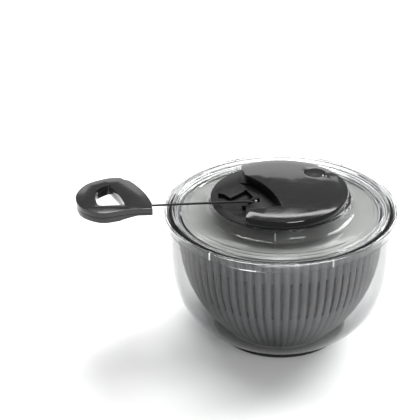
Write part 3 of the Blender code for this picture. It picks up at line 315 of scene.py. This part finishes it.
FINISHES = {
    "bowl": CLEAR_BOWL, "lid": CLEAR_LID, "basket_cover": FROSTED, "base_ring": RUBBER, "basket": GREY,
    "top_cover": BLACK, "handle_upper": BLACK_HANDLE, "handle_lower": BLACK_HANDLE, "brake_button": BLACK,
    "brake_pad": RUBBER, "mechanism_base": BLACK_SATIN, "cord_eyelet": BLACK_SATIN, "spool": ACETAL,
    "spool_cap": ACETAL, "drive_hub": ACETAL, "cord_winding": CORD, "pull_cord": CORD, "cord_knot": CORD,
}
for name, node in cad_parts.items():
    node.data.materials.clear()
    node.data.materials.append(FINISHES.get(name, STEEL))


# ---- the pull cord ----

def smooth_route(points, fine_steps=40):
    """A close row of points on a smooth curve through the route."""
    points = [Vector(p) for p in points]
    ends = [points[0] * 2 - points[1], *points, points[-1] * 2 - points[-2]]
    fine = []
    for a, b, c, d in zip(ends, ends[1:], ends[2:], ends[3:]):
        for k in range(fine_steps):
            t = k / fine_steps
            bend = (a * 2 - b * 5 + c * 4 - d) * t ** 2 + (b * 3 - a - c * 3 + d) * t ** 3
            fine.append((b * 2 + (c - a) * t + bend) / 2)
    return fine + [points[-1]]


def evenly_spaced(fine, spacing):
    """Points a set distance apart along a row of points, and its end."""
    made, left = [fine[0]], spacing
    for a, b in zip(fine, fine[1:]):
        step = (b - a).length
        while step >= left:
            a = a + (b - a).normalized() * left
            made.append(a)
            step -= left
            left = spacing
        left -= step
    return made + [fine[-1]] if (made[-1] - fine[-1]).length > spacing * 0.3 else made


def twisted_cord(name, path, radius, sides=16):
    """A laid cord: a tube whose section has a lobe for each strand, and turns as it runs."""
    verts, faces = [], []
    run = 0.0
    side = Vector((0, 1, 0))
    for n, point in enumerate(path):
        run += (point - path[n - 1]).length if n else 0.0
        way = (path[min(n + 1, len(path) - 1)] - path[max(n - 1, 0)]).normalized()
        up = way.cross(side).normalized()
        for k in range(sides):
            turn = 2 * pi * k / sides
            size = radius * (0.93 + 0.07 * cos(STRANDS * turn - pi * run / LAY_LENGTH * STRANDS))
            verts.append(point + side * size * cos(turn) + up * size * sin(turn))
    for n in range(len(path) - 1):
        for k in range(sides):
            a, b = n * sides + k, n * sides + (k + 1) % sides
            faces.append((a, b, b + sides, a + sides))
    faces.append(tuple(reversed(range(sides))))
    faces.append(tuple(range(len(verts) - sides, len(verts))))
    mesh = bpy.data.meshes.new(name)
    mesh.from_pydata([tuple(v) for v in verts], [], faces)
    mesh.materials.append(CORD)
    mesh.shade_smooth()
    made = bpy.data.objects.new(name, mesh)
    bpy.context.scene.collection.objects.link(made)
    return made


cord_path = evenly_spaced(smooth_route([(x * MM, CORD_Y * MM, z * MM) for x, z in CORD_ROUTE]), CORD_STEP)
pull = twisted_cord("pull_cord_laid", cord_path, CORD_RADIUS)
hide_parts("pull_cord")
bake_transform(pull)


# ---- modelling helpers ----

def only_selected(made):
    bpy.ops.object.select_all(action="DESELECT")
    made.select_set(True)
    bpy.context.view_layer.objects.active = made


def pick(made, kind, test):
    """Selects the verts or faces of the mesh being edited whose place passes the test, and nothing else."""
    bpy.ops.mesh.select_mode(type=kind)
    bpy.ops.mesh.select_all(action="DESELECT")
    bpy.ops.object.mode_set(mode="OBJECT")
    items = made.data.vertices if kind == "VERT" else made.data.polygons
    for item in items:
        item.select = test(item.co if kind == "VERT" else item.center)
    bpy.ops.object.mode_set(mode="EDIT")


def apply_modifier(made, kind, **settings):
    modifier = made.modifiers.new(kind.title(), kind)
    for key, value in settings.items():
        setattr(modifier, key, value)
    only_selected(made)
    bpy.ops.object.modifier_apply(modifier=modifier.name)


def smooth_by_angle(made, angle=35):
    only_selected(made)
    bpy.ops.object.shade_smooth_by_angle(angle=radians(angle))


def resized(size):
    """Scales what is selected about the spin axis."""
    bpy.ops.transform.resize(value=(size, size, 1), center_override=(0, 0, 0))


def extruded(way):
    bpy.ops.mesh.extrude_region_move(TRANSFORM_OT_translate={"value": way})


# ---- basket with its ribs and slots ----

def basket_radius(height):
    share = min(max((height - BASKET_FLOOR) / (BASKET_TOP - BASKET_FLOOR), 0), 1)
    return BASKET_FOOT + (BASKET_RIM - 0.6 * MM - BASKET_FOOT) * (1 - (1 - share) ** BASKET_FULLNESS)


def in_groove(place, half):
    """Whether a place lies within half a width of the middle of a groove."""
    pitch = 2 * pi / SLOTS
    turn = atan2(place[1], place[0]) % pitch
    return min(turn, pitch - turn) < pitch * half


def ribbed_basket():
    """One ring of edges is drawn up into the wall. The slots open in the grooves between the ribs."""
    columns = SLOTS * 4
    radius, height = basket_radius(BASKET_FLOOR) - 3 * MM, BASKET_FLOOR + 0.2 * MM
    bpy.ops.object.select_all(action="DESELECT")
    bpy.ops.mesh.primitive_circle_add(vertices=columns, radius=radius, location=(0, 0, height),
                                      rotation=(0, 0, pi / columns))
    made = bpy.context.object
    made.name = "basket_ribbed"
    bpy.ops.object.transform_apply(location=True, rotation=True, scale=True)
    bpy.ops.object.mode_set(mode="EDIT")
    bpy.ops.mesh.select_all(action="SELECT")
    wall = [(basket_radius(z * MM), z * MM) for z in WALL_LEVELS]
    rim = [(BASKET_RIM - inset * MM, BASKET_TOP - drop * MM)
           for inset, drop in ((1.4, 3.1), (0.3, 2.8), (0.05, 2.2), (0.05, 0.5), (0.5, 0), (2.2, 0))]
    for new_radius, new_height in wall + rim:
        extruded((0, 0, new_height - height))
        resized(new_radius / radius)
        radius, height = new_radius, new_height
    pick(made, "VERT", lambda p: in_groove(p, GROOVE_HALF) and GROOVE_LOW < p[2] < GROOVE_HIGH)
    resized(GROOVE_DEEP)
    pick(made, "FACE", lambda p: in_groove(p, SLOT_HALF) and SLOT_LOW < p[2] < SLOT_HIGH)
    bpy.ops.mesh.delete(type="FACE")
    pick(made, "VERT", lambda p: p[2] < BASKET_FLOOR + 0.3 * MM)
    for size in (0.8, 0.625, 0.4):
        extruded((0, 0, 0))
        resized(size)
    bpy.ops.mesh.edge_face_add()
    bpy.ops.mesh.select_all(action="SELECT")
    bpy.ops.mesh.normals_make_consistent(inside=False)
    bpy.ops.object.mode_set(mode="OBJECT")
    apply_modifier(made, "SOLIDIFY", thickness=BASKET_WALL, offset=-1, use_even_offset=False)
    smooth_by_angle(made, 40)
    made.data.materials.append(GREY)
    return made


basket = ribbed_basket()
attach(basket, "basket")
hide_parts("basket")


# ---- clear pieces, spun fine ----

def drawn_profile(name, profile):
    """An outline in the XZ plane, drawn by extruding one vertex from point to point."""
    bpy.ops.object.select_all(action="DESELECT")
    bpy.ops.mesh.primitive_plane_add(size=0.01, location=(0, 0, 0))
    made = bpy.context.object
    made.name = name
    bpy.ops.object.mode_set(mode="EDIT")
    bpy.ops.mesh.select_mode(type="VERT")
    bpy.ops.mesh.select_all(action="SELECT")
    bpy.ops.mesh.merge(type="CENTER")
    at = Vector((profile[0][0] * MM, 0, profile[0][1] * MM))
    bpy.ops.transform.translate(value=at)
    for radius, height in profile[1:]:
        to = Vector((radius * MM, 0, height * MM))
        extruded(to - at)
        at = to
    return made


def spun(name, profile, node, finish):
    """The outline turned once round the spin axis, with its seam and poles closed, in its node's place."""
    made = drawn_profile(name, profile)
    bpy.ops.mesh.select_all(action="SELECT")
    bpy.ops.mesh.spin(steps=SPIN_STEPS, angle=2 * pi, center=(0, 0, 0), axis=(0, 0, 1))
    bpy.ops.mesh.select_all(action="SELECT")
    bpy.ops.mesh.remove_doubles(threshold=0.00002)
    bpy.ops.mesh.normals_make_consistent(inside=False)
    bpy.ops.object.mode_set(mode="OBJECT")
    smooth_by_angle(made, 28)
    made.data.materials.append(finish)
    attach(made, node)
    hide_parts(node)


def bowl_wall(height):
    """The bowl's outer radius at a height."""
    share = min(max((height - CURVE_LOW) / (CURVE_SHARE * BOWL_HEIGHT - CURVE_LOW), 0), 1)
    return BASE_RADIUS + (BOWL_RADIUS - BASE_RADIUS) * (1 - (1 - share) ** BOWL_FULLNESS)


def rounded_end(radius, height, size, start, end, steps=4):
    """Points on a small round between two directions, in degrees."""
    turns = [radians(start + (end - start) * n / steps) for n in range(steps + 1)]
    return [(radius + size * cos(t), height + size * sin(t)) for t in turns]


def bowl_profile():
    """Underside, outer wall, rounded lip, inner wall, floor and the pivot that the basket turns on."""
    levels = [RING_TOP + WALL_RISE * (n / WALL_STEPS) ** 1.2 for n in range(WALL_STEPS + 1)]
    foot = [(0, 0), (RING_INNER - 0.5, 0), (RING_INNER, 0.5), (RING_INNER, RING_TOP)]
    outside = [(bowl_wall(z), z) for z in levels]
    lip = [(LIP - 0.4, BOWL_HEIGHT - 3), (LIP, BOWL_HEIGHT - 2.5),
           *rounded_end(LIP - 1, BOWL_HEIGHT - 1, 1, 0, 90),
           *rounded_end(BOWL_RADIUS - 2, BOWL_HEIGHT - 1, 1, 90, 180)]
    inside = [(bowl_wall(z) - BOWL_WALL, z) for z in reversed(levels) if z > KNEE]
    bend = [(81.4, FLOOR_TOP + 2.5), (78.6, FLOOR_TOP + 1.0), (75.0, FLOOR_TOP + 0.2), (70.0, FLOOR_TOP)]
    pivot = [(9, FLOOR_TOP), (5.5, FLOOR_TOP + 0.3), (4, PIVOT_TOP - 0.8), (2, PIVOT_TOP - 0.05),
             (0, PIVOT_TOP)]
    return foot + outside + lip + inside + bend + pivot


def neck_foot(radius, level, turns):
    """The round between the deck and the neck, at the given turns in degrees."""
    return [(radius + NECK_FOOT * (1 - sin(radians(t))), level + NECK_FOOT * (1 - cos(radians(t))))
            for t in turns]


def lid_profile():
    """Skirt, rounded rim, deck with two beads, neck, and back under the deck by way of the locating ring."""
    skirt = [(LID_RADIUS - 0.6, LID_SKIRT_LOW), (LID_RADIUS, LID_SKIRT_LOW + 0.6), (LID_RADIUS, LID_SEAT)]
    rim = rounded_end(LID_RADIUS - 2.6, LID_TOP - 2.6, 2.6, 0, 90, 6)
    slope = [(124.2, LID_TOP), (122.4, LID_TOP - 0.2), (121.0, DECK + 1.4), (120.2, DECK + 0.6),
             (119.4, DECK + 0.15), (118.4, DECK)]
    beads = [point for radius in BEAD_RADII
             for point in ((radius, DECK), (radius - 0.3, DECK + BEAD_RISE),
                           (radius - 1.3, DECK + BEAD_RISE), (radius - 1.6, DECK))]
    inner = NECK_RADIUS - LID_WALL
    neck = [*neck_foot(NECK_RADIUS, DECK, range(0, 91, 10)), (NECK_RADIUS, NECK_TOP - 0.4),
            (NECK_RADIUS - 0.4, NECK_TOP), (inner + 0.4, NECK_TOP), (inner, NECK_TOP - 0.4),
            *neck_foot(inner, DECK - LID_WALL, range(90, -1, -10))]
    locating_ring = [(117.0, 151.6), (118.5, 151.2), (119.3, 149.8), (119.3, 147.9), (119.6, 147.7),
                     (121.2, 147.7), (121.5, 148.0), (121.5, LID_SEAT - 0.8), (122.0, LID_SEAT)]
    inside = LID_RADIUS - LID_WALL
    back = [(inside - 0.4, LID_SEAT), (inside, LID_SEAT - 0.4), (inside, LID_SKIRT_LOW + 0.6),
            (inside + 0.5, LID_SKIRT_LOW), (LID_RADIUS - 0.6, LID_SKIRT_LOW)]
    return skirt + rim + slope + beads + neck + locating_ring + back


spun("bowl_clear", bowl_profile(), "bowl", CLEAR_BOWL)
spun("lid_clear", lid_profile(), "lid", CLEAR_LID)


def lid_rib(name, angle, inner, outer, width, low, high):
    """A small rib on the lid at an angle about Z, with its edges rounded and whitened as a painted
    highlight. In mm and degrees.
    """
    bpy.ops.object.select_all(action="DESELECT")
    bpy.ops.mesh.primitive_cube_add(size=1, location=((inner + outer) / 2 * MM, 0, (low + high) / 2 * MM))
    made = bpy.context.object
    made.name = name
    made.scale = ((outer - inner) * MM, width * MM, (high - low) * MM)
    bpy.ops.transform.rotate(value=-radians(angle), orient_axis="Z", center_override=(0, 0, 0))
    bpy.ops.object.transform_apply(location=True, rotation=True, scale=True)
    apply_modifier(made, "BEVEL", width=0.2 * MM, segments=2, limit_method="ANGLE", angle_limit=radians(40))
    smooth_by_angle(made)
    made.data.materials.append(RIB_HIGHLIGHT)
    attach(made, "lid")


for number in range(SKIRT_RIBS):
    lid_rib(f"skirt_rib_{number + 1}", SKIRT_RIB_START + 360 / SKIRT_RIBS * number, LIP + 0.4,
            LID_RADIUS - 1, 1.2, LID_SKIRT_LOW + 0.4, LID_SEAT + 0.3)
for number, angle in enumerate(NECK_RIB_ANGLES, 1):
    lid_rib(f"neck_rib_{number}", angle, NECK_RADIUS - 0.7, NECK_RADIUS + 2.2, 1.4, DECK + 0.8,
            NECK_TOP - 2.6)


# ---- pieces made from the frame's own shapes ----

def copied(name, node, finish):
    """A frame node's own shape as a new piece that takes its place."""
    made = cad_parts[node].copy()
    made.data = made.data.copy()
    made.name = name
    made.parent = None
    made.matrix_world = Matrix.Identity(4)
    bpy.context.scene.collection.objects.link(made)
    made.data.materials.clear()
    made.data.materials.append(finish)
    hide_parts(node)
    return made


def rounded_shell(name, node, body, width, finish, segments=3):
    """A copy of a frame node with its doubles merged, flat faces joined and edges rounded."""
    made = copied(name, node, finish)
    only_selected(made)
    bpy.ops.object.mode_set(mode="EDIT")
    bpy.ops.mesh.select_all(action="SELECT")
    bpy.ops.mesh.remove_doubles(threshold=0.00002)
    bpy.ops.mesh.dissolve_limited(angle_limit=radians(1))
    bpy.ops.object.mode_set(mode="OBJECT")
    apply_modifier(made, "BEVEL", width=width, segments=segments, limit_method="ANGLE",
                   angle_limit=radians(38), use_clamp_overlap=True, harden_normals=False)
    smooth_by_angle(made, 32)
    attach(made, body)
    return made


def under_dome(place):
    """Whether a place lies well below the dome's surface and inside its side, as in the handle's recess."""
    share = Vector(place[:2]).length / DOME_RADIUS
    return share < 0.985 and place[2] < DOME_EDGE + DOME_RISE * (1 - share ** 2) - RECESS_DEEP


rounded_shell("handle_top_shell", "handle_upper", "handle", 2.4 * MM, BLACK_HANDLE,
              segments=4)
rounded_shell("handle_under_shell", "handle_lower", "handle", 0.8 * MM, BLACK_HANDLE)
cover = rounded_shell("cover_shell", "top_cover", "lid", 0.8 * MM, BLACK)
# Faces well below the dome, in the handle's recess, take the painted-shade finish.
cover.data.materials.append(RECESS_SHADE)
for face in cover.data.polygons:
    if under_dome(face.center):
        face.material_index = 1

spring = copied("brake_spring_coil", "brake_spring", STEEL)
smooth_by_angle(spring, 80)
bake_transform(spring)


# ---- floor and light ----

bpy.ops.object.select_all(action="DESELECT")
bpy.ops.mesh.primitive_plane_add(size=FLOOR_SIZE, location=(0, 0, cad_low[2] - 0.1 * MM))
floor = bpy.context.object
floor.name = "floor"
floor.data.materials.append(new_finish("floor_white", (0.93, 0.93, 0.93), 0.7)[0])

world = bpy.data.worlds.new("studio")
bpy.context.scene.world = world
world.use_nodes = True
world.node_tree.nodes["Background"].inputs["Color"].default_value = (1, 1, 1, 1)
world.node_tree.nodes["Background"].inputs["Strength"].default_value = SKY_STRENGTH


def soft_light(name, at, size, power, aim):
    lamp = bpy.data.lights.new(name, "AREA")
    lamp.shape = "RECTANGLE"
    lamp.size, lamp.size_y = size
    lamp.energy = power
    made = bpy.data.objects.new(name, lamp)
    made.location = at
    made.rotation_euler = (Vector(aim) - Vector(at)).to_track_quat("-Z", "Y").to_euler()
    bpy.context.scene.collection.objects.link(made)


BOWL_MIDDLE, COVER_MIDDLE = (0, 0, 0.08), (0, 0, 0.17)
soft_light("light_right_back", (1.0, 0.8, 1.2), (0.9, 0.9), 40, BOWL_MIDDLE)
soft_light("light_top", (-0.2, 0.5, 1.6), (1.0, 0.5), 20, BOWL_MIDDLE)
soft_light("light_front", (0.5, -1.4, 1.0), (0.7, 0.6), 12, BOWL_MIDDLE)
soft_light("light_back_wall", (-0.6, 2.0, 0.53), (2.6, 1.06), 8, (-0.3, 0, 0.4))
soft_light("light_back_high", (0.05, 1.2, 1.3), (1.1, 0.14), 2.6, COVER_MIDDLE)

bpy.context.scene.view_settings.view_transform = "Standard"
